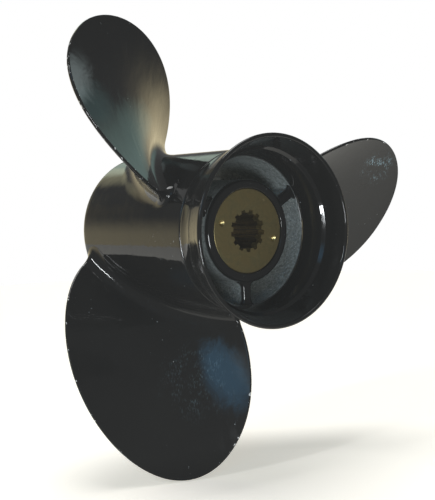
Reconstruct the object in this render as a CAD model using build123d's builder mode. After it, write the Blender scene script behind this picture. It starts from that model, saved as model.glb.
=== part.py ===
"""Outboard propeller: three blades on a through-hub exhaust barrel with a flared diffuser ring,
carried on a splined brass core by a rubber cushion bush.

Millimetres. The origin is on the shaft axis, at the forward (thrust) face of the splined sleeve.
+Y points forward along the shaft, +Z up. A station is a distance aft of the thrust face, so a point
at station a has y = -a. Angles about the shaft are clockwise from up, seen from aft.
"""
import os
from math import asin, cos, degrees, hypot, pi, radians, sin, sqrt

from build123d import *

# ---- propeller as a whole ----
tip_r = 140.0              # 280 mm (11 in) diameter
pitch = 368.0              # advance of the blade helix in one turn
blade_count = 3
first_blade_angle = -30.0

# ---- outer barrel and diffuser ring ----
barrel_r = 44.8
barrel_wall = 4.0
barrel_length = 100.5
barrel_nose = 3.0          # rounding of the forward lip
thrust_recess = 12.5       # thrust face behind the forward lip
ring_length = 26.5
ring_step = 13.0           # from the joint to the shoulder where the ring's mouth widens
ring_rise = 3.0            # how far the outside climbs by then
lip_flare = 7.6            # lip outside the barrel
lip_wall = 2.6
lip_rounding = 1.17        # both corners of the lip, just short of a full round
mouth_step = 1.5           # the mouth's wall starts this far behind the shoulder
mouth_wall = 2.2
crest_depth = 3.9          # metal at the inner shoulder
bend_radius = 1.2          # at the shoulder, inside and out
joint_chamfer = 0.6        # the two chamfers that leave a thin groove between barrel and ring

# ---- inner hub and ribs ----
hub_wall = 4.7
hub_recess = 24.3          # aft face of the inner hub inside the ring's lip
hub_front_gap = 3.0        # inner hub starts this far behind the thrust face
hub_round = 1.6            # aft rim
hub_lead_in = 0.8          # chamfers at the forward end
rib_count = 3
rib_thickness = 6.0
rib_fillet = 3.0
rib_front_gap = 5.0        # ribs are shorter than the inner hub, at each end
rib_aft_gap = 3.0
first_rib_angle = 60.0

# ---- splined core ----
spline_teeth = 13
spline_major_r = 11.6
spline_minor_r = 10.0
spline_groove = 2.9        # width of a groove at the minor radius
spline_taper = 0.6         # how much narrower it is at the major radius
pilot_clearance = 0.4      # plain pilot bore over the spline's major radius
pilot_length = 10.0
sleeve_wall = 3.4
sleeve_chamfer = 0.85
bush_thickness = 8.55
bush_chamfer = 2.1
bush_front = 6.0
bush_aft_gap = 4.0         # room between the rubber and the end plate
bush_fit = 0.05            # the bush in the inner hub's bore, each side
plate_thickness = 5.0
plate_recess = 0.9         # aft face of the end plate inside the inner hub
plate_fit = 0.3
plate_chamfer = 0.4
dimple_r = 1.9
dimple_point_r = 0.2
dimple_depth = 1.5
dimple_pitch_r = 18.5
dimple_angle = 106.0

# ---- blade, as lengths along the helix on each cylinder ----
root_front_gap = 6.7       # the root stops short of the barrel's ends
root_aft_gap = 16.7
rake = (0.325, -0.08)      # aft lean with radius: straight part, then a slight curve back
skew = -9.9                # degrees that the tip lags
leading_growth = (36.5, -15.5)     # of the half-chord from root to tip: straight part and curve
trailing_growth = (57.0, -22.0)
tip_fullness = 1.81        # higher is a squarer tip
root_thickness = 13.0
tip_thickness = 3.6
thickness_falloff = 1.4    # higher thins the blade sooner
edge_thickness = 2.2
edge_thinning = 0.33       # the edge and the belly thin where the outline narrows below
belly_thinning = 0.67      # these shares of its width
camber = 1.6               # how far the middle of the face is hollowed forward
cup = 2.6                  # how far the trailing edge curls aft at mid span
root_fillet = 10.0
end_flare = 0.4            # share of the fillet by which the leading and trailing ends reach out
root_flattening = (1, 0.75, 0.5, 0.25, 0)  # sections that lead from a plane one to the barrel's
fillet_levels = (0.08, 0.3, 0.65, 1.0)     # sections up the fillet, as shares of its size
chord_shares = (-1, -0.7, -0.35, 0, 0.35, 0.7, 1)
blade_sections = 14        # spaced so that the outline turns evenly from one to the next

# ---- worked out from the above ----
helix = pitch / (2 * pi)
barrel_in_r = barrel_r - barrel_wall
barrel_front = -thrust_recess
barrel_aft = barrel_front + barrel_length
lip_r = barrel_r + lip_flare
lip_aft = barrel_aft + ring_length
hub_aft = lip_aft - hub_recess
plate_aft = hub_aft - plate_recess
plate_front = plate_aft - plate_thickness
sleeve_r = spline_major_r + sleeve_wall
bush_r = sleeve_r + bush_thickness
hub_bore_r = bush_r + bush_fit
hub_r = hub_bore_r + hub_wall
passage_height = barrel_in_r - hub_r
passage_fillet = min(rib_fillet, passage_height / 3)
plate_r = hub_bore_r - plate_fit
pilot_r = spline_major_r + pilot_clearance
blade_station = (barrel_front + barrel_aft) / 2
root_slant = hypot(barrel_r, helix) / helix
leading_root = (blade_station - barrel_front - root_front_gap) * root_slant
trailing_root = (barrel_aft - root_aft_gap - blade_station) * root_slant


def aft_plane(station):
    """Sketch plane across the shaft: x to the right and y up, seen from aft, extruding aft."""
    return Plane.XZ.offset(station)


def polar(radius, angle):
    """Sketch point on an aft_plane, with the angle clockwise from up."""
    return (radius * sin(radians(angle)), radius * cos(radians(angle)))


def save(piece, name):
    piece.part.label = name
    export_step(piece.part, f"parts/{name}.step")


def spline_bore(station, length):
    """Cut the internal spline through the part being built. One groove points straight down."""
    with BuildSketch(aft_plane(station)) as bore:
        Circle(spline_minor_r)
        depth = spline_major_r - spline_minor_r
        overlap = spline_minor_r / 10
        flare = spline_taper * (depth + overlap) / depth
        for tooth in range(spline_teeth):
            turn = 180 + tooth * 360 / spline_teeth
            with Locations(Location((*polar(spline_major_r, turn), 0), (0, 0, -turn))):
                Trapezoid(
                    spline_groove - spline_taper + flare,
                    depth + overlap,
                    90 - degrees(asin(flare / 2 / hypot(depth + overlap, flare / 2))),
                    align=(Align.CENTER, Align.MAX),
                )
    extrude(bore.sketch, amount=length, mode=Mode.SUBTRACT)


os.makedirs("parts", exist_ok=True)

# ---- outer barrel: a plain tube round the exhaust passages ----
with BuildPart() as outer_barrel:
    with BuildSketch(aft_plane(barrel_front)):
        Circle(barrel_r)
        Circle(barrel_in_r, mode=Mode.SUBTRACT)
    extrude(amount=barrel_length)
    rims = outer_barrel.edges().filter_by(GeomType.CIRCLE).sort_by(Axis.Y)
    fillet(rims[-2:].sort_by(SortBy.RADIUS)[-1], barrel_nose)
    rims = outer_barrel.edges().filter_by(GeomType.CIRCLE).sort_by(Axis.Y)
    chamfer(rims[:2].sort_by(SortBy.RADIUS)[-1], joint_chamfer)
save(outer_barrel, "outer_barrel")

# ---- diffuser ring: coves out from the barrel, then a thin lip round a wider mouth ----
step = barrel_aft + ring_step
shoulder_r = barrel_r + ring_rise
with BuildPart() as diffuser_ring:
    with BuildSketch(Plane.YZ) as ring_profile:
        with BuildLine():
            cove_start = (-barrel_aft - joint_chamfer, barrel_r)
            cove = TangentArc(cove_start, (-step, shoulder_r), tangent=(-1, 0))
            lip_outside = Line(cove @ 1, (-lip_aft, lip_r))
            lip_face = Line(lip_outside @ 1, (-lip_aft, lip_r - lip_wall))
            mouth = Line(lip_face @ 1, (-step - mouth_step, shoulder_r - mouth_wall))
            shoulder = Line(mouth @ 1, (-step, shoulder_r - crest_depth))
            throat = TangentArc((-barrel_aft, barrel_in_r), shoulder @ 1, tangent=(-1, 0))
            joint = Line(throat @ 0, (-barrel_aft, barrel_r - joint_chamfer))
            groove = Line(joint @ 1, cove_start)
        make_face()
        fillet(ring_profile.vertices().sort_by(Axis.X)[:2], lip_rounding)
        bends = ring_profile.vertices().filter_by_position(
            Axis.X, -step - mouth_step - bend_radius, -step + bend_radius
        )
        fillet(bends, bend_radius)
    revolve(axis=Axis.Y)
save(diffuser_ring, "diffuser_ring")

# ---- inner hub: the tube that holds the cushion bush ----
with BuildPart() as inner_hub:
    with BuildSketch(aft_plane(hub_front_gap)):
        Circle(hub_r)
        Circle(hub_bore_r, mode=Mode.SUBTRACT)
    extrude(amount=hub_aft - hub_front_gap)
    rims = inner_hub.edges().filter_by(GeomType.CIRCLE).sort_by(Axis.Y)
    fillet(rims[:2].sort_by(SortBy.RADIUS)[-1], hub_round)
    rims = inner_hub.edges().filter_by(GeomType.CIRCLE).sort_by(Axis.Y)
    chamfer(rims[-2:], hub_lead_in)
save(inner_hub, "inner_hub")

# ---- ribs: what is left of the ring between hub and barrel round three rounded passages ----
rib_front = hub_front_gap + rib_front_gap
rib_length = hub_aft - rib_aft_gap - rib_front
rib_mid_r = (hub_r + barrel_in_r) / 2
rib_angles = [first_rib_angle + i * 360 / rib_count for i in range(rib_count)]
with BuildSketch(aft_plane(rib_front)) as passages:
    Circle(barrel_in_r)
    Circle(hub_r, mode=Mode.SUBTRACT)
    for angle in rib_angles:
        with Locations(Location((*polar(rib_mid_r, angle), 0), (0, 0, -angle))):
            Rectangle(rib_thickness, 2 * passage_height, mode=Mode.SUBTRACT)
    fillet(passages.vertices(), passage_fillet)
for number, angle in enumerate(rib_angles, start=1):
    with BuildPart() as rib:
        with BuildSketch(aft_plane(rib_front)):
            Circle(barrel_in_r)
            Circle(hub_r, mode=Mode.SUBTRACT)
            with Locations(Location((*polar(rib_mid_r, angle), 0), (0, 0, -angle))):
                Rectangle(rib_thickness + 4 * passage_fillet, 2 * passage_height, mode=Mode.INTERSECT)
            add(passages.sketch, mode=Mode.SUBTRACT)
        extrude(amount=rib_length)
    save(rib, f"rib_{number}")


# ---- blades ----
def blade_section(radius, fillet_size=0.0, flat_at=0.0, flatness=0.0):
    """Closed outline of the blade on the cylinder of this radius, for a blade that points up.

    The aft face follows the helix and the forward back carries the thickness. fillet_size moves
    the whole outline outwards, for the root fillet. flatness presses the outline flat at the
    height flat_at, from 0, as it lies on the cylinder, to 1, a plane one for an end of the loft.
    """
    span = max(0.0, (radius - barrel_r) / (tip_r - barrel_r))
    taper = sqrt(1 - span ** tip_fullness)
    lead = taper * (leading_root + leading_growth[0] * span + leading_growth[1] * span ** 2)
    trail = taper * (trailing_root + trailing_growth[0] * span + trailing_growth[1] * span ** 2)
    edge = edge_thickness * min(1.0, sqrt(taper / edge_thinning))
    thickest = tip_thickness + (root_thickness - tip_thickness) * (1 - span) ** thickness_falloff
    lean = rake[0] * (radius - barrel_r) + rake[1] * (radius - barrel_r) * span
    lag = radians(skew) * span ** 2
    slant = hypot(radius, helix)
    half = (lead + trail) / 2 - edge / 2 - (1 - end_flare) * fillet_size
    middle = (lead - trail) / 2
    facing = middle / slant + lag

    def place(across, forward):
        """Point at a share of the half-chord from trailing (-1) to leading (1), and a distance
        forward of the face. Its angle is counted from the way the outline's middle faces."""
        turn = (middle + half * across) / slant
        curl = cup * (4 * span * (1 - span)) ** 2 * max(0.0, -across) ** 3
        forward += taper * camber * (1 - across ** 2) - curl
        angle = turn - middle / slant - forward * helix / slant / radius
        station = blade_station + lean - helix * (turn + lag) - forward * radius / slant
        height = radius * cos(angle) * (1 - flatness) + flat_at * flatness
        return (
            radius * sin(angle) * cos(facing) + height * sin(facing),
            -station,
            height * cos(facing) - radius * sin(angle) * sin(facing),
        )

    def back(across):
        belly = (thickest - edge) * (1 - across ** 2) * min(1.0, taper / belly_thinning)
        return place(across, edge + belly + fillet_size)

    round_edge = (edge / 2 + fillet_size) / half
    face_edge = Edge.make_spline([place(x, -fillet_size) for x in chord_shares])
    nose = Edge.make_three_point_arc(
        place(1, -fillet_size), place(1 + round_edge, edge / 2), back(1)
    )
    back_edge = Edge.make_spline([back(x) for x in reversed(chord_shares)])
    tail = Edge.make_three_point_arc(
        back(-1), place(-1 - round_edge, edge / 2), place(-1, -fillet_size)
    )
    return Wire([face_edge, nose, back_edge, tail])


def fillet_reach(height):
    """How far a root fillet stands out from the blade at this height above the barrel."""
    drop = max(0.0, root_fillet - height)
    return root_fillet - sqrt(root_fillet ** 2 - drop ** 2)


sections = [
    blade_section(barrel_r - flatness, root_fillet, barrel_r / 2, flatness)
    for flatness in root_flattening
]
for level in fillet_levels:
    height = level * root_fillet
    sections.append(blade_section(barrel_r + height, fillet_reach(height)))
for number in range(1, blade_sections):
    level = sin(pi / 2 * number / blade_sections) ** (2 / tip_fullness)
    is_tip = number == blade_sections - 1
    if level * (tip_r - barrel_r) > root_fillet:
        sections.append(blade_section(barrel_r + level * (tip_r - barrel_r), 0, tip_r, is_tip))
with BuildPart() as blade:
    add(Solid.make_loft(sections))
    with BuildSketch(aft_plane(0)):
        Circle(barrel_r)
    extrude(amount=tip_r, both=True, mode=Mode.SUBTRACT)
for number in range(blade_count):
    turn = first_blade_angle + number * 360 / blade_count
    with BuildPart() as placed_blade:
        add(blade.part.rotate(Axis.Y, turn))
    save(placed_blade, f"blade_{number + 1}")

# ---- splined sleeve: fits the propeller shaft, with a plain pilot bore at its forward end ----
with BuildPart() as spline_sleeve:
    with BuildSketch(aft_plane(0)):
        Circle(sleeve_r)
    extrude(amount=plate_front)
    rims = spline_sleeve.edges().filter_by(GeomType.CIRCLE)
    chamfer(rims.sort_by(Axis.Y)[-1], sleeve_chamfer)
    spline_bore(0, plate_front)
    with BuildSketch(aft_plane(0)):
        Circle(pilot_r)
    extrude(amount=pilot_length, mode=Mode.SUBTRACT)
save(spline_sleeve, "spline_sleeve")

# ---- rubber cushion bush: bonded on the sleeve, pressed into the inner hub ----
with BuildPart() as rubber_bush:
    with BuildSketch(aft_plane(bush_front)):
        Circle(bush_r)
        Circle(sleeve_r, mode=Mode.SUBTRACT)
    extrude(amount=plate_front - bush_aft_gap - bush_front)
    rims = rubber_bush.edges().filter_by(GeomType.CIRCLE).group_by(SortBy.RADIUS)[-1]
    chamfer(rims, bush_chamfer)
save(rubber_bush, "rubber_bush")

# ---- brass end plate: closes the aft end of the hub, splined like the sleeve ----
with BuildPart() as end_plate:
    with BuildSketch(aft_plane(plate_front)):
        Circle(plate_r)
    extrude(amount=plate_thickness)
    chamfer(end_plate.edges().filter_by(GeomType.CIRCLE), plate_chamfer)
    spline_bore(plate_front, plate_thickness)
    for angle in (dimple_angle, dimple_angle + 180):
        with Locations(aft_plane(plate_aft - dimple_depth / 2) * Pos(*polar(dimple_pitch_r, angle))):
            Cone(dimple_point_r, dimple_r, dimple_depth, mode=Mode.SUBTRACT)
save(end_plate, "end_plate")
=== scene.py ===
"""Finish of an outboard propeller: a gloss black casting on a brass core with a rubber cushion.

Metres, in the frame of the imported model: the shaft axis is Y with the thrust face at 0, +Y forward,
+Z up. A station is a distance aft of the thrust face. Angles about the shaft are clockwise from up,
seen from aft.
"""
from math import atan2, cos, degrees, hypot, pi, radians, sin, sqrt, tau

import bmesh
import bpy
import numpy as np
from mathutils import Matrix, Vector, noise


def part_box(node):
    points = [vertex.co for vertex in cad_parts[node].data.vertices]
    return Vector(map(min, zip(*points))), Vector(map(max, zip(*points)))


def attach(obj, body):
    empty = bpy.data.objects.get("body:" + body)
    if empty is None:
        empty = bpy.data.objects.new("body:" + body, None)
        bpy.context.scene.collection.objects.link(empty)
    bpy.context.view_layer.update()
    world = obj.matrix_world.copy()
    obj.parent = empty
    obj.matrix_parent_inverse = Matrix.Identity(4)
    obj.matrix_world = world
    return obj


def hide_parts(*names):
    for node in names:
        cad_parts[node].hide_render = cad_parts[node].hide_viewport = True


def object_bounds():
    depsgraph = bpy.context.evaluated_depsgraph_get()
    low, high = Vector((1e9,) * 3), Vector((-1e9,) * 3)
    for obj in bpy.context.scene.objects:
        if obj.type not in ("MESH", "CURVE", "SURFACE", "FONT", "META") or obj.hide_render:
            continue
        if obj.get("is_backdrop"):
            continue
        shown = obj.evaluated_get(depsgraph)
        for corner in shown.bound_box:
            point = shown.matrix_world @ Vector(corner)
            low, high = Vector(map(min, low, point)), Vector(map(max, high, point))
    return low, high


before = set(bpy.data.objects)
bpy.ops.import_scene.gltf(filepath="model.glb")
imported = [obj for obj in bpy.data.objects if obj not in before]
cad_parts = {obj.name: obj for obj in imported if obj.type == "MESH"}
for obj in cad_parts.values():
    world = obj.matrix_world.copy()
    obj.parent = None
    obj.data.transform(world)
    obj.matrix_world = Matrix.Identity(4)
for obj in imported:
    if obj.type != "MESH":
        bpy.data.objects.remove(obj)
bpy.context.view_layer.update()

MM = 0.001

# ---- sizes of the casting, in millimetres ----
tip_r = 140.0
pitch = 368.0
blade_angles = (-30.0, 90.0, 210.0)
rib_angles = (60.0, 180.0, 300.0)
helix = pitch / tau
barrel_wall = 4.0
barrel_nose = 3.0
joint_groove = 0.6
ring_step = 13.0
ring_rise = 3.0
lip_flare = 7.6
lip_wall = 2.6
lip_rounding = 1.17
mouth_step = 1.5
mouth_wall = 2.2
crest_depth = 3.9
bend_radius = 1.2
hub_wall = 4.7
rib_thickness = 6.0
rib_fillet = 3.0
row_gap = 2.0

# ---- the blade, as lengths along the helix on each cylinder ----
root_front_gap = 6.7
root_aft_gap = 16.7
rake = (0.325, -0.08)
skew = -9.9
leading_growth = (36.5, -15.5)
trailing_growth = (57.0, -22.0)
tip_fullness = 1.81
root_thickness = 13.0
tip_thickness = 3.6
thickness_falloff = 1.4
edge_thickness = 2.2
edge_thinning = 0.33
belly_thinning = 0.67
camber = 1.6
cup = 2.6
root_fillet = 10.0
end_flare = 0.4


def node_box(name):
    """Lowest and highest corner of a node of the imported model, in millimetres."""
    low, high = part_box(name)
    return low / MM, high / MM


barrel_low, barrel_high = node_box("outer_barrel")
ring_low = node_box("diffuser_ring")[0]
hub_low, hub_high = node_box("inner_hub")
rib_low, rib_high = node_box("rib_2")
barrel_r = barrel_high.x
barrel_in_r = barrel_r - barrel_wall
barrel_front, barrel_aft = -barrel_high.y, -barrel_low.y
lip_r, lip_aft = barrel_r + lip_flare, -ring_low.y
hub_r = hub_high.x
hub_bore_r = hub_r - hub_wall
hub_front, hub_aft = -hub_high.y, -hub_low.y
rib_front, rib_aft = -rib_high.y, -rib_low.y
blade_station = (barrel_front + barrel_aft) / 2
root_slant = hypot(barrel_r, helix) / helix
leading_root = (blade_station - barrel_front - root_front_gap) * root_slant
trailing_root = (barrel_aft - root_aft_gap - blade_station) * root_slant


# ---- camera ----
view_azimuth, view_elevation, view_roll = radians(-37.2), radians(3.2), -0.04
view_distance = 594.6 * MM
look_at = Vector((-9.06, -73.22, -10.21)) * MM


def camera_axes():
    """Image right, image up and the way back to the camera."""
    back = Vector((
        sin(view_azimuth) * cos(view_elevation),
        -cos(view_azimuth) * cos(view_elevation),
        sin(view_elevation),
    ))
    level = Vector((cos(view_azimuth), sin(view_azimuth), 0))
    upright = back.cross(level)
    right = cos(view_roll) * level + sin(view_roll) * upright
    up = cos(view_roll) * upright - sin(view_roll) * level
    return right, up, back


def add_camera():
    camera = bpy.data.objects.new("camera", bpy.data.cameras.new("camera"))
    right, up, back = camera_axes()
    turn = Matrix((right, up, back)).transposed().to_4x4()
    camera.matrix_world = Matrix.Translation(look_at + back * view_distance) @ turn
    camera.data.lens = 77.4
    camera.data.clip_start = 0.01
    camera.data.clip_end = 60
    bpy.context.scene.collection.objects.link(camera)
    bpy.context.scene.camera = camera


# ---- node materials ----
class Signal:
    """One output of a shader node. Arithmetic on it adds Math nodes."""

    def __init__(self, socket):
        self.socket = socket

    def math(self, operation, *others):
        return Shader(self.socket.id_data).node(
            "ShaderNodeMath", {"operation": operation}, dict(enumerate((self, *others)))
        )

    def __add__(self, other):
        return self.math("ADD", other)

    def __mul__(self, other):
        return self.math("MULTIPLY", other)

    def __sub__(self, other):
        return self.math("SUBTRACT", other)

    def __rsub__(self, other):
        return self.math("MULTIPLY", -1) + other

    __radd__ = __add__
    __rmul__ = __mul__


class Shader:
    """A node tree being built."""

    def __init__(self, tree):
        self.tree = tree

    def node(self, kind, settings=None, sockets=None, output=0):
        """Add a node, set it up, feed its sockets, and return one of its outputs."""
        made = self.tree.nodes.new(kind)
        for name, value in (settings or {}).items():
            setattr(made, name, value)
        for name, value in (sockets or {}).items():
            if isinstance(value, Signal):
                self.tree.links.new(value.socket, made.inputs[name])
            else:
                made.inputs[name].default_value = value
        return Signal(made.outputs[output]) if len(made.outputs) else made

    def place(self):
        """Where a point is on the piece, in metres."""
        return self.node("ShaderNodeTexCoord", output="Object")

    def noise(self, scale, detail=4, roughness=0.5, distortion=0, at=None):
        """Cloudy noise from 0 to 1, with this many features to a metre."""
        return self.node(
            "ShaderNodeTexNoise",
            None,
            {
                "Vector": at or self.place(),
                "Scale": scale,
                "Detail": detail,
                "Roughness": roughness,
                "Distortion": distortion,
            },
        )

    def ramp(self, value, low, high):
        """Smooth step of a value, from 0 at the threshold low to 1 at high."""
        return self.node(
            "ShaderNodeMapRange",
            {"interpolation_type": "SMOOTHSTEP"},
            {"Value": value, "From Min": low, "From Max": high},
        )

    def mix(self, share, first, second, blend="MIX"):
        """Colour that goes from first to second."""
        return self.node(
            "ShaderNodeMix",
            {"data_type": "RGBA", "blend_type": blend, "clamp_factor": True},
            {0: share, 6: first, 7: second},
            output=2,
        )

    def stretched(self, turn, scale):
        """The point's place, turned and then scaled unevenly, for streaks."""
        return self.node(
            "ShaderNodeMapping",
            {"vector_type": "POINT"},
            {"Vector": self.place(), "Rotation": turn, "Scale": scale},
        )

    def around_shaft(self):
        """Distance from the shaft axis, in metres."""
        flat = self.node(
            "ShaderNodeVectorMath", {"operation": "MULTIPLY"}, {0: self.place(), 1: (1, 0, 1)}
        )
        return self.node("ShaderNodeVectorMath", {"operation": "LENGTH"}, {0: flat}, output="Value")

    def near(self, spot, inner, outer):
        """1 within inner of a spot given in millimetres, falling to 0 at outer."""
        away = self.node(
            "ShaderNodeVectorMath", {"operation": "DISTANCE"},
            {0: self.place(), 1: Vector(spot) * MM}, output="Value",
        )
        return self.ramp(away, outer * MM, inner * MM)

    def share(self, name):
        """A value from 0 to 1 that the mesh carries at its points."""
        return self.node("ShaderNodeAttribute", {"attribute_name": name}, output="Fac")

    def bump(self, height, strength, distance, under=None):
        """Shading that follows a height, laid over the bump under it."""
        sockets = {"Height": height, "Strength": strength, "Distance": distance}
        if under:
            sockets["Normal"] = under
        return self.node("ShaderNodeBump", None, sockets)


def rgb(red, green, blue):
    """Opaque colour."""
    return (red, green, blue, 1)


# painted glow: every surface gives off a faint light of its own, standing in for haze in the room,
# which keeps the deepest blacks a little grey
painted_glow = rgb(0.011, 0.0115, 0.0115)


def material(name):
    """An empty node material, as the material and its shader tree."""
    made = bpy.data.materials.new(name)
    made.use_nodes = True
    made.node_tree.nodes.clear()
    return made, Shader(made.node_tree)


def surface(shader, sockets):
    """The closing shader of a material."""
    closing = shader.node("ShaderNodeBsdfPrincipled", None, sockets)
    shader.node("ShaderNodeOutputMaterial", None, {"Surface": closing})


def scratches(shader, turn, density, fineness):
    """Thin straight marks in one direction: 1 on a mark, 0 off it."""
    slenderness = 45
    scale = (fineness, fineness, fineness / slenderness)
    lines = shader.noise(1, 2, 0.5, 0, shader.stretched(turn, scale))
    where = shader.noise(55, 3, 0.6)
    return shader.ramp(lines, 0.70, 0.76) * shader.ramp(where, 0.62 - density, 0.78 - density)


def scuffs_and_painted_reflection(shader):
    """Fine rubbed hairlines in a bluish colour that also paints a reflection: a faint painted
    reflection by the lower blade's root and bright painted glints by the right blade's tip.
    """
    # how strongly the painted reflection shows: faint on the lower blade, bright glints on the right
    # blade
    faint, bright = 0.16, 1.6
    lower_blade = shader.near((-20, -66, -82), 8, 28)
    right_blade = shader.near((118, -74, 33), 4, 15)
    along_hairs = shader.stretched((-0.32, -0.89, 0.2), (1300, 1300, 70))
    hairlines = shader.ramp(shader.noise(1, 4, 0.6, 0, along_hairs), 0.50, 0.66)
    patches = shader.ramp(shader.noise(120, 3, 0.6), 0.42, 0.62)
    return hairlines * patches * (lower_blade * faint + right_blade * bright)


def black_enamel():
    """Gloss black enamel over a fettled casting, with dust, fine scratches and worn edges, bluish
    hairlines that also paint a reflection on two blades, and pale specks in the cast grain that
    partly paint sparkle.

    Points that carry as_cast 1 are on the unpolished walls of the exhaust passages. Points that
    carry edge 1 are on the thin edges of the blades, where the enamel chips.
    """
    black, faded = rgb(0.010, 0.010, 0.010), rgb(0.015, 0.015, 0.014)
    scuff_and_reflection_blue, scratched, dusty = rgb(0.20, 0.30, 0.34), rgb(0.09, 0.11, 0.13), rgb(0.30, 0.33, 0.34)
    dark_grain, pale_grain = rgb(0.10, 0.115, 0.115), rgb(0.22, 0.25, 0.245)
    grain_and_painted_sparkle, bare_metal = rgb(0.55, 0.58, 0.57), rgb(0.60, 0.61, 0.60)
    gloss, cast_roughness = 0.04, 0.42

    made, s = material("black_enamel")
    as_cast = s.share("as_cast")
    edge = s.share("edge")
    cloud = s.noise(22, 5, 0.6)
    smudge = s.ramp(s.noise(38, 6, 0.65, 0.6), 0.48, 0.72)
    grain = s.noise(1300, 3, 0.6)
    coarse = s.noise(620, 4, 0.6)
    # pale specks in the cast grain, partly real grain and partly painted sparkle highlights
    speckle_and_sparkle = s.ramp(s.noise(1500, 2, 0.5), 0.60, 0.70)
    marks = scratches(s, (0.5, 0.3, 0.9), 0.10, 2600) + scratches(s, (1.2, 0.7, -0.5), 0.06, 2100)
    dust = s.ramp(s.noise(640, 1, 0.4), 0.765, 0.80) * s.ramp(s.noise(30, 3, 0.5), 0.50, 0.62)
    chips = s.ramp(s.noise(420, 3, 0.55), 0.63, 0.67) * s.ramp(edge, 0.75, 0.95)
    strokes = s.noise(1, 4, 0.6, 0.3, s.stretched((0.4, 0.5, 0.3), (210, 210, 26)))
    wiped = s.ramp(strokes, 0.46, 0.66)

    enamel = s.mix(cloud, black, faded)
    # painted reflection: bluish rubbed hairlines where the blades show a light's reflection and
    # glints
    enamel = s.mix(scuffs_and_painted_reflection(s), enamel, scuff_and_reflection_blue)
    enamel = s.mix(marks * 0.35, enamel, scratched)
    enamel = s.mix(dust * 0.6, enamel, dusty)
    cast = s.mix(s.ramp(coarse, 0.30, 0.70), dark_grain, pale_grain)
    # painted sparkle: pale specks laid over the cast walls' grain
    cast = s.mix(speckle_and_sparkle * 0.6, cast, grain_and_painted_sparkle)
    colour = s.mix(as_cast, enamel, cast)
    colour = s.mix(chips, colour, bare_metal)

    dulled = smudge * 0.05 + wiped * 0.09 + marks * 0.16 + dust * 0.3 + cloud * 0.03 + gloss
    rough = dulled + (coarse * 0.25 + cast_roughness - dulled) * as_cast
    sag = s.bump(s.noise(70, 3, 0.5, 0.4), 0.4, 0.0004)
    peel = s.bump(s.noise(420, 2, 0.4), 0.05, 0.00012, sag)
    cut = s.bump(1 - marks, 0.06, 0.00005, peel)
    skin = s.bump((coarse + grain * 0.5) * as_cast, 0.85, 0.0006, cut)
    surface(s, {
        "Base Color": colour,
        "Roughness": rough,
        "Metallic": chips * 0.3,
        "IOR": 1.38,
        "Normal": skin,
        # painted glow: a faint light of its own that lifts the black enamel
        "Emission Color": painted_glow,
        "Emission Strength": 1.0,
    })
    return made


def dull_brass(name, bright, dark, stain):
    """Machined brass gone dull, with turning marks round the shaft and patches of tarnish."""
    pitted = rgb(0.11, 0.085, 0.045)
    marks_to_a_metre = 2600
    made, s = material(name)
    across = s.node("ShaderNodeCombineXYZ", None, {"X": s.around_shaft() * marks_to_a_metre})
    turned = s.noise(1, 2, 0.5, 0, across)
    patch = s.ramp(s.noise(110, 6, 0.62, 0.8), 0.40, 0.66)
    mottle = s.noise(420, 5, 0.6)
    spots = s.ramp(s.noise(300, 3, 0.5), 0.66, 0.74)
    colour = s.mix(patch, bright, dark)
    colour = s.mix(mottle * 0.5, colour, stain)
    colour = s.mix(spots * 0.55, colour, pitted)
    rough = patch * 0.12 + mottle * 0.14 + turned * 0.08 + 0.26
    rings = s.bump(turned, 0.22, 0.00008)
    pits = s.bump(1 - spots + mottle * 0.4, 0.25, 0.00015, rings)
    surface(s, {
        "Base Color": colour,
        "Roughness": rough,
        "Metallic": 1 - spots * 0.5,
        "Normal": pits,
        # painted glow: a faint light of its own that lifts the dark brass
        "Emission Color": painted_glow,
        "Emission Strength": 1.0,
    })
    return made


def cushion_rubber():
    """Moulded black rubber, dusty and slightly bloomed."""
    fresh, bloomed = rgb(0.016, 0.016, 0.017), rgb(0.045, 0.043, 0.040)
    made, s = material("cushion_rubber")
    bloom = s.ramp(s.noise(90, 5, 0.6), 0.42, 0.70)
    skin = s.noise(1400, 3, 0.6)
    flow = s.noise(160, 4, 0.5, 1.2)
    colour = s.mix(bloom, fresh, bloomed)
    surface(s, {
        "Base Color": colour,
        "Roughness": bloom * 0.15 + skin * 0.12 + 0.55,
        # painted glow: a faint light of its own that lifts the black rubber
        "Emission Color": painted_glow,
        "Emission Strength": 1.0,
        "Normal": s.bump(skin * 0.6 + flow, 0.4, 0.0002),
    })
    return made


def pale_floor():
    """Matt pale paper, faintly clouded, with a little light of its own that softens the shadow."""
    shaded, clean = rgb(0.87, 0.84, 0.78), rgb(0.90, 0.87, 0.81)
    made, s = material("pale_floor")
    cloud = s.noise(3, 4, 0.5)
    colour = s.mix(cloud, shaded, clean)
    surface(s, {
        "Base Color": colour,
        "Roughness": cloud * 0.1 + 0.8,
        "Emission Color": rgb(1.0, 0.97, 0.90),
        "Emission Strength": 0.44,
    })
    return made


# ---- meshes ----
def wave(point, size, amount):
    """Smooth unevenness of a cast surface, for a point in millimetres."""
    return amount * noise.noise(Vector(point) / size)


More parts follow.
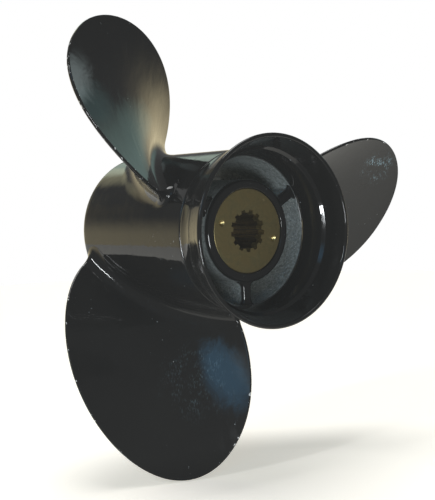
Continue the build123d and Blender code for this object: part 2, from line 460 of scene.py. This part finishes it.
def grid_piece(name, rows, finish, carried, sharp_row=None, around=True):
    """Closed mesh from rows of points in millimetres, each row a loop round the piece.

    around joins the last row to the first, as on a ring; otherwise the end rows have already been
    drawn together and their points are merged. carried holds a value for each point, by name. The
    edges along sharp_row are left unsmoothed.
    """
    merge_distance = 1e-7
    rows = np.asarray(rows, float)
    count, loop = rows.shape[:2]
    made = bmesh.new()
    layers = {key: made.verts.layers.float.new(key) for key in carried}
    points = [made.verts.new(p) for p in (rows.reshape(-1, 3) * MM).tolist()]
    for key, layer in layers.items():
        for vertex, value in zip(points, np.asarray(carried[key]).reshape(-1).tolist()):
            vertex[layer] = value
    for row in range(count if around else count - 1):
        lower = points[row * loop:(row + 1) * loop]
        upper_row = (row + 1) % count
        upper = points[upper_row * loop:(upper_row + 1) * loop]
        for turn in range(loop):
            after = (turn + 1) % loop
            made.faces.new((lower[turn], lower[after], upper[after], upper[turn]))
    if sharp_row is not None:
        crease = points[sharp_row * loop:(sharp_row + 1) * loop]
        for turn in range(loop):
            made.edges.get((crease[turn], crease[(turn + 1) % loop])).smooth = False
    for face in made.faces:
        face.smooth = True
    bmesh.ops.remove_doubles(made, verts=made.verts, dist=merge_distance)
    bmesh.ops.dissolve_degenerate(made, edges=made.edges, dist=merge_distance / 10)
    bmesh.ops.recalc_face_normals(made, faces=made.faces)
    mesh = bpy.data.meshes.new(name)
    made.to_mesh(mesh)
    made.free()
    mesh.materials.append(finish)
    piece = bpy.data.objects.new(name, mesh)
    bpy.context.scene.collection.objects.link(piece)
    return piece


def stand_for(piece, node):
    """The piece takes the place of a node of the casting."""
    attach(piece, "wheel")
    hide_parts(node)


def straight(start, end, step):
    """Profile points from start up to but not including end."""
    count = max(1, round(hypot(end[0] - start[0], end[1] - start[1]) / step))
    return [
        (start[0] + (end[0] - start[0]) * i / count, start[1] + (end[1] - start[1]) * i / count)
        for i in range(count)
    ]


def corner(before, at, after, radius, count=6):
    """Profile points of a rounded corner."""
    at, before, after = Vector(at), Vector(before), Vector(after)
    a, b = (before - at).normalized(), (after - at).normalized()
    half = a.angle(b) / 2
    reach = radius / np.tan(half)
    centre = at + (a + b).normalized() * radius / sin(half)
    first, last = at + a * reach - centre, at + b * reach - centre
    swing = first.angle_signed(last)
    points = []
    for i in range(count + 1):
        turned = first.copy()
        turned.rotate(Matrix.Rotation(-swing * i / count, 2))
        points.append(tuple(centre + turned))
    return points


def rounded_profile(corners, step):
    """Closed profile from (station, radius, rounding) corners, with points every step or so."""
    arcs = []
    for i, (station, radius, rounding) in enumerate(corners):
        before, after = corners[i - 1][:2], corners[(i + 1) % len(corners)][:2]
        if rounding:
            arcs.append(corner(before, (station, radius), after, rounding))
        else:
            arcs.append([(station, radius)])
    profile = []
    for i, arc in enumerate(arcs):
        profile += arc[:-1] + straight(arc[-1], arcs[(i + 1) % len(arcs)][0], step)
    return profile


def lathe(name, profile, finish, segments, roughness_of):
    """Turned piece from a closed profile of (station, radius), with an uneven cast surface.

    roughness_of says how far a profile point is from a polished one, from 0 to 1.
    """
    inset = 0.05
    rows, as_cast = [], []
    for station, radius in profile:
        rough = roughness_of(station, radius)
        row = []
        for i in range(segments):
            angle = tau * i / segments
            point = (radius * sin(angle), -station, radius * cos(angle))
            sand = wave(point, 7, 0.25) + wave(point, 2.6, 0.18)
            reach = radius - inset + wave(point, 26, 0.05) + rough * sand
            row.append((reach * sin(angle), -station, reach * cos(angle)))
        rows.append(row)
        as_cast.append([rough] * segments)
    return grid_piece(name, rows, finish, {"as_cast": as_cast})


def build_barrel(finish):
    """Outer barrel: rounded forward lip, a fine groove where the ring joins, rough inside."""
    inside_round, joint_round = 0.8, 0.25
    polished_end = 2.0
    profile = rounded_profile([
        (barrel_front, barrel_r, barrel_nose),
        (barrel_aft - joint_groove, barrel_r, joint_round),
        (barrel_aft, barrel_r - joint_groove, 0),
        (barrel_aft, barrel_in_r, 0),
        (barrel_front, barrel_in_r, inside_round),
    ], row_gap)

    def roughness(station, radius):
        inside = radius < barrel_in_r + inside_round and station > barrel_front + polished_end
        return inside * min(1.0, (barrel_aft - station) / polished_end)

    piece = lathe("outer_barrel_skin", profile, finish, segments=288, roughness_of=roughness)
    stand_for(piece, "outer_barrel")


def arc_through(start, end, count):
    """Profile points of an arc that leaves start along the shaft and ends at end."""
    run, rise = end[0] - start[0], end[1] - start[1]
    radius = (run ** 2 + rise ** 2) / (2 * rise)
    swing = atan2(run, radius - rise)
    return [
        (start[0] + radius * sin(swing * i / count), start[1] + radius * (1 - cos(swing * i / count)))
        for i in range(count + 1)
    ]


def build_ring(finish):
    """Diffuser ring: coves out from the barrel, with a shoulder inside and a thin flared lip."""
    step = barrel_aft + ring_step
    shoulder_r = barrel_r + ring_rise
    crest = (step, shoulder_r - crest_depth)
    mouth = (step + mouth_step, shoulder_r - mouth_wall)
    cove_start = (barrel_aft + joint_groove, barrel_r)
    cove_end = (step, shoulder_r)
    lip_out, lip_in = (lip_aft, lip_r), (lip_aft, lip_r - lip_wall)
    lip_gap = 1.2
    outside = arc_through(cove_start, cove_end, 12)
    throat = arc_through((barrel_aft, barrel_in_r), crest, 12)
    profile = [(barrel_aft, barrel_r - joint_groove)] + outside[:-2]
    profile += corner(outside[-2], cove_end, lip_out, bend_radius, 8)
    profile += straight(profile[-1], lip_out, lip_gap)[1:-1]
    profile += corner(cove_end, lip_out, lip_in, lip_rounding, 10)
    profile += corner(lip_out, lip_in, mouth, lip_rounding, 10)
    profile += straight(profile[-1], mouth, lip_gap)[1:-1]
    profile += corner(lip_in, mouth, crest, bend_radius / 2, 8)
    profile += corner(mouth, crest, throat[-3], bend_radius, 8)
    profile += throat[-3::-1]

    def polished(station, radius):
        return 0.0

    piece = lathe("diffuser_ring_skin", profile, finish, segments=320, roughness_of=polished)
    stand_for(piece, "diffuser_ring")


def build_hub(finish):
    """Inner hub: polished rim aft, rough outside where the exhaust passes."""
    front_round, rim_round, bore_round = 0.8, 1.9, 0.5
    polished_rim = 3.2
    profile = rounded_profile([
        (hub_front, hub_r, front_round),
        (hub_aft, hub_r, rim_round),
        (hub_aft, hub_bore_r, bore_round),
        (hub_front, hub_bore_r, front_round),
    ], row_gap)

    def roughness(station, radius):
        return float(radius > hub_bore_r + 1 and station < hub_aft - polished_rim)

    piece = lathe("inner_hub_skin", profile, finish, segments=240, roughness_of=roughness)
    stand_for(piece, "inner_hub")


def build_rib(number, angle, finish):
    """Web between hub and barrel, flared at both ends, with rounded ends and a black aft face."""
    end_round, sink, rib_row_gap, points_across = 1.6, 0.6, 1.6, 34
    radii = np.linspace(hub_r - sink, barrel_in_r + sink, points_across)
    from_wall = np.minimum(radii - hub_r, barrel_in_r - radii).clip(0, rib_fillet)
    flare = rib_fillet - np.sqrt(rib_fillet ** 2 - (rib_fillet - from_wall) ** 2)
    half_width = rib_thickness / 2 + flare
    turn = radians(angle)

    def loop(station, inset, squeeze=0):
        """Loop round the rib at a station, drawn in by inset and then squeezed to its middle."""
        row = []
        for side, order in ((1, range(len(radii))), (-1, reversed(range(len(radii))))):
            for i in order:
                radius = radii[i]
                across = side * (half_width[i] - inset) * (1 - squeeze)
                uneven = wave((radius + across * 3, station, angle), 6, 0.25) * (1 - squeeze)
                across += side * uneven
                row.append((
                    radius * sin(turn) + across * cos(turn),
                    -station,
                    radius * cos(turn) - across * sin(turn),
                ))
        return row

    middle = rib_aft - rib_front - 2 * end_round
    count = round((rib_aft - rib_front) / rib_row_gap)
    quarter = np.linspace(0, pi / 2, 7)
    ends = (0.25, 0.5, 0.75, 1)
    rows = [loop(rib_front, end_round, k) for k in reversed(ends)]
    rows += [loop(rib_front + end_round * (1 - cos(t)), end_round * (1 - sin(t))) for t in quarter]
    rows += [loop(rib_front + end_round + middle * i / count, 0) for i in range(1, count)]
    rows += [loop(rib_aft - end_round * (1 - sin(t)), end_round * (1 - cos(t))) for t in quarter]
    rows += [loop(rib_aft, end_round, k) for k in ends]
    as_cast = [[float(-row[0][1] < rib_aft - end_round)] * len(row) for row in rows]
    piece = grid_piece(f"rib_{number}_skin", rows, finish, {"as_cast": as_cast}, around=False)
    stand_for(piece, f"rib_{number}")


def blade_loop(radius, fillet, turn, squeeze=0.0, sunk=0.0):
    """Loop round the blade on the cylinder of this radius, in millimetres, with edge closeness.

    The aft face follows the helix and the forward back carries the thickness. fillet moves the loop
    outwards. squeeze draws face and back together, and sunk lowers the loop below its cylinder.
    """
    least_half, chip_width = 0.05, 1.2
    points_across, points_round_edge = 61, 17
    span = max(0.0, (radius - barrel_r) / (tip_r - barrel_r))
    taper = sqrt(max(0.0, 1 - span ** tip_fullness))
    lead = taper * (leading_root + leading_growth[0] * span + leading_growth[1] * span ** 2)
    trail = taper * (trailing_root + trailing_growth[0] * span + trailing_growth[1] * span ** 2)
    edge = edge_thickness * min(1.0, sqrt(taper / edge_thinning))
    thickest = tip_thickness + (root_thickness - tip_thickness) * (1 - span) ** thickness_falloff
    lean = rake[0] * (radius - barrel_r) + rake[1] * (radius - barrel_r) * span
    lag = radians(skew) * span ** 2
    slant = hypot(radius, helix)
    half = max(least_half, (lead + trail) / 2 - edge / 2 - (1 - end_flare) * fillet)
    middle = (lead - trail) / 2
    nose = edge / 2 + fillet

    spread = np.sin(np.linspace(-pi / 2, pi / 2, points_across))
    arc = np.linspace(0, pi, points_round_edge)[1:-1]
    belly = (thickest - edge) * (1 - spread ** 2) * min(1.0, taper / belly_thinning)
    across = np.concatenate((
        spread, 1 + nose / half * np.sin(arc), spread[::-1], -1 - nose / half * np.sin(arc),
    ))
    forward = np.concatenate((
        0 * spread - fillet, edge / 2 - nose * np.cos(arc),
        (edge + belly + fillet)[::-1], edge / 2 + nose * np.cos(arc),
    ))
    mid_line = np.concatenate((
        (edge + belly) / 2, 0 * arc + edge / 2, (edge + belly[::-1]) / 2, 0 * arc + edge / 2,
    ))
    forward = forward + (mid_line - forward) * squeeze
    curl = cup * (4 * span * (1 - span)) ** 2 * np.maximum(0, -across) ** 3
    forward = forward + taper * camber * (1 - across ** 2) - curl
    around = (middle + half * across) / slant
    angle = around + lag - forward * helix / slant / radius
    station = blade_station + lean - helix * (around + lag) - forward * radius / slant
    angle = angle + radians(turn)
    reach = radius - sunk
    loop = np.stack((reach * np.sin(angle), -station, reach * np.cos(angle)), axis=1)
    from_rim = (1 - np.abs(across)).clip(0, None) * half
    closeness = np.exp(-from_rim / chip_width) * (1 - min(1.0, fillet))
    return loop, closeness


def build_blade(number, turn, finish):
    """One blade, faired into the barrel all round its root and closed below the barrel's surface."""
    seat, bury, start_of_free = 0.04, 1.2, 0.4
    fairing_rows, free_rows = 17, 120
    buried = [(barrel_r, root_fillet, k, bury) for k in (1, 0.8, 0.6, 0.4, 0.2, 0)]
    fairing = [
        (barrel_r + root_fillet * (1 - sin(t)), root_fillet * (1 - cos(t)), 0, -seat * sin(t))
        for t in np.linspace(pi / 2, 0, fairing_rows)
    ]
    spans = [sin(pi / 2 * i / free_rows) ** (2 / tip_fullness) for i in range(1, free_rows)]
    radii = [barrel_r + span * (tip_r - barrel_r) for span in spans]
    free_root = barrel_r + root_fillet + start_of_free
    free = [(radius, 0, 0, 0) for radius in radii if radius > free_root]
    tip = [(radii[-1], 0, k, 0) for k in (0.5, 1)]
    rows, rims = [], []
    for radius, fillet, squeeze, sunk in buried + fairing + free + tip:
        loop, rim = blade_loop(radius, fillet, turn, squeeze, sunk)
        rows.append(loop)
        rims.append(rim)
    rows = np.array(rows)
    for point in rows[len(buried) + len(fairing):].reshape(-1, 3):
        point[1] += wave(point, 30, 0.16) + wave(point, 11, 0.03)
    piece = grid_piece(
        f"blade_{number}_skin", rows, finish, {"edge": rims}, sharp_row=len(buried), around=False
    )
    stand_for(piece, f"blade_{number}")


def dress_core():
    """New finishes for the sleeve, the end plate and the rubber bush, which keep their shapes."""
    finishes = {
        "end_plate": dull_brass(
            "dull_brass", rgb(0.46, 0.38, 0.17), rgb(0.30, 0.27, 0.13), rgb(0.30, 0.23, 0.11)
        ),
        "spline_sleeve": dull_brass(
            "sleeve_brass", rgb(0.26, 0.21, 0.12), rgb(0.16, 0.13, 0.08), rgb(0.10, 0.09, 0.06)
        ),
        "rubber_bush": cushion_rubber(),
    }
    for node, finish in finishes.items():
        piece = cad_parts[node]
        for slot in piece.material_slots:
            slot.material = finish


# ---- light and floor ----
def toward(azimuth, elevation):
    """Direction with its azimuth clockwise from forward, seen from above."""
    a, e = radians(azimuth), radians(elevation)
    return Vector((sin(a) * cos(e), cos(a) * cos(e), sin(e)))


def light_room():
    """Dim room with a bright warm sheet forward of the propeller and soft panels round about.

    The bare background is plain white, whichever way it is seen.
    """
    dim = rgb(0.12, 0.12, 0.12)
    sheet_colour, near_colour = rgb(1.25, 1.08, 0.68), rgb(1.40, 1.20, 0.76)
    world = bpy.data.worlds.new("room")
    bpy.context.scene.world = world
    world.use_nodes = True
    world.node_tree.nodes.clear()
    s = Shader(world.node_tree)
    direction = s.node("ShaderNodeTexCoord", output="Generated")

    def facing(azimuth, elevation, inner, outer):
        """1 within inner degrees of a direction, falling to 0 at outer degrees."""
        along = s.node(
            "ShaderNodeVectorMath", {"operation": "DOT_PRODUCT"},
            {0: direction, 1: toward(azimuth, elevation)}, output="Value",
        )
        return s.ramp(along, cos(radians(outer)), cos(radians(inner)))

    height = s.node("ShaderNodeSeparateXYZ", None, {"Vector": direction}, output="Z")
    sheet = s.ramp(height, 0.24, -0.06) * facing(14, 0, 48, 78)
    near_side = s.ramp(height, 0.20, -0.06) * facing(60, -8, 8, 24)
    glow = s.mix(sheet, dim, sheet_colour)
    glow = s.mix(near_side, glow, near_colour)
    # azimuth, elevation, reach of the full brightness, reach of the fading edge, colour
    for azimuth, elevation, inner, outer, colour in (
        (-134, 24, 3, 12, (0.38, 1.35, 2.35)),
        (-127, 17, 1, 6, (0.45, 0.55, 0.60)),
        (22, 32, 6, 17, (0.75, 0.95, 0.80)),
        (5, 28, 4, 14, (0.80, 0.75, 0.45)),
        (-20, 12, 3, 11, (0.22, 0.17, 0.07)),
        (64, 15, 4, 14, (0.22, 0.38, 0.34)),
        (91, 26, 4, 10, (1.30, 1.60, 1.60)),
        (80, 22, 2, 8, (0.10, 0.25, 0.25)),
        (-12, 16, 4, 12, (0.45, 0.42, 0.25)),
    ):
        share = facing(azimuth, elevation, inner, outer)
        glow = s.mix(share, glow, s.mix(1.0, glow, rgb(*colour), "ADD"))
    seen = s.node("ShaderNodeLightPath", output="Is Camera Ray")
    colour = s.mix(seen, glow, rgb(1, 1, 1))
    back = s.node("ShaderNodeBackground", None, {"Color": colour, "Strength": 1})
    s.node("ShaderNodeOutputWorld", None, {"Surface": back})


def add_light(name, place, size, power, colour, aim=Vector((0, -0.06, 0))):
    """Soft light aimed at the propeller. It shows in reflections and not in the background."""
    lamp = bpy.data.objects.new(name, bpy.data.lights.new(name, "AREA"))
    lamp.data.shape = "RECTANGLE"
    lamp.data.size, lamp.data.size_y = size
    lamp.data.energy = power
    lamp.data.color = colour
    lamp.location = place
    lamp.rotation_euler = (place - aim).to_track_quat("Z", "Y").to_euler()
    lamp.visible_camera = False
    bpy.context.scene.collection.objects.link(lamp)


def light_propeller():
    """A narrow light for glints, a card low aft for the passages, and a broad light overhead."""
    add_light(
        "glint_light", toward(-100, 28) * 1.2,
        size=(0.03, 0.40), power=3.0, colour=(0.95, 0.98, 1),
    )
    add_light(
        "low_card", toward(-149, -12) * 0.75,
        size=(0.06, 0.20), power=3.2, colour=(0.93, 0.97, 1),
    )
    overhead = bpy.data.objects.new("overhead", bpy.data.lights.new("overhead", "SUN"))
    overhead.data.energy = 1.7
    overhead.data.angle = radians(34)
    overhead.rotation_euler = toward(30, 80).to_track_quat("Z", "Y").to_euler()
    bpy.context.scene.collection.objects.link(overhead)


def lay_floor(finish):
    """Plain pale floor that the lowest blade stands on, a disc that reaches mostly forward."""
    low, _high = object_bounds()
    reach, ahead, gap = 0.75, 0.60, 0.0005
    made = bmesh.new()
    bmesh.ops.create_circle(made, cap_ends=True, segments=128, radius=reach)
    mesh = bpy.data.meshes.new("floor")
    made.to_mesh(mesh)
    made.free()
    mesh.materials.append(finish)
    floor = bpy.data.objects.new("floor", mesh)
    floor.location = toward(-degrees(view_azimuth), 0) * ahead
    floor.location.z = low.z - gap
    bpy.context.scene.collection.objects.link(floor)
    floor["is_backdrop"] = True


enamel = black_enamel()
build_barrel(enamel)
build_ring(enamel)
build_hub(enamel)
for number, angle in enumerate(rib_angles, start=1):
    build_rib(number, angle, enamel)
for number, angle in enumerate(blade_angles, start=1):
    build_blade(number, angle, enamel)
dress_core()
lay_floor(pale_floor())
light_room()
light_propeller()
add_camera()
bpy.context.scene.view_settings.view_transform = "Standard"
